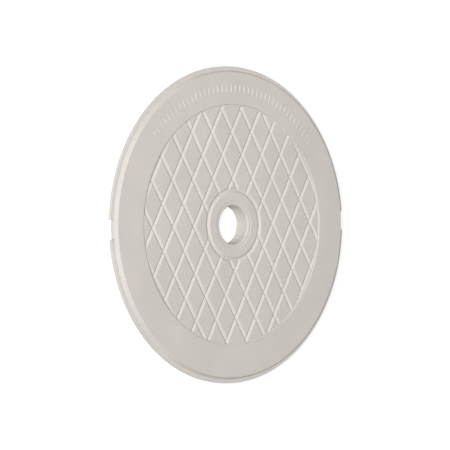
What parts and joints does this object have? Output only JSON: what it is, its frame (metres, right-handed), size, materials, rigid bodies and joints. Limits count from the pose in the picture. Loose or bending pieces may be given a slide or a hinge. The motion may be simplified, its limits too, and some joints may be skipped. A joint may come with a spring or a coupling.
{
  "type": "pool skimmer lid",
  "caption": "Round moulded skimmer lid with a stepped rim, two lifting notches, a diamond-grooved field and a central finger hole.",
  "frame": {"origin": "centre of the lid, at the height of the lower edge of its skirt and boss, which it rests on", "axes": "+Z is the face's outward normal, +X points through the middle of one rim notch, +Y is square to both"},
  "size_m": [0.2506, 0.251, 0.015],
  "materials": {
    "moulded_plastic": "fine moulded grain, satin"
  },
  "bodies": {
    "root": {"lid": "moulded_plastic"}
  },
  "joints": []
}
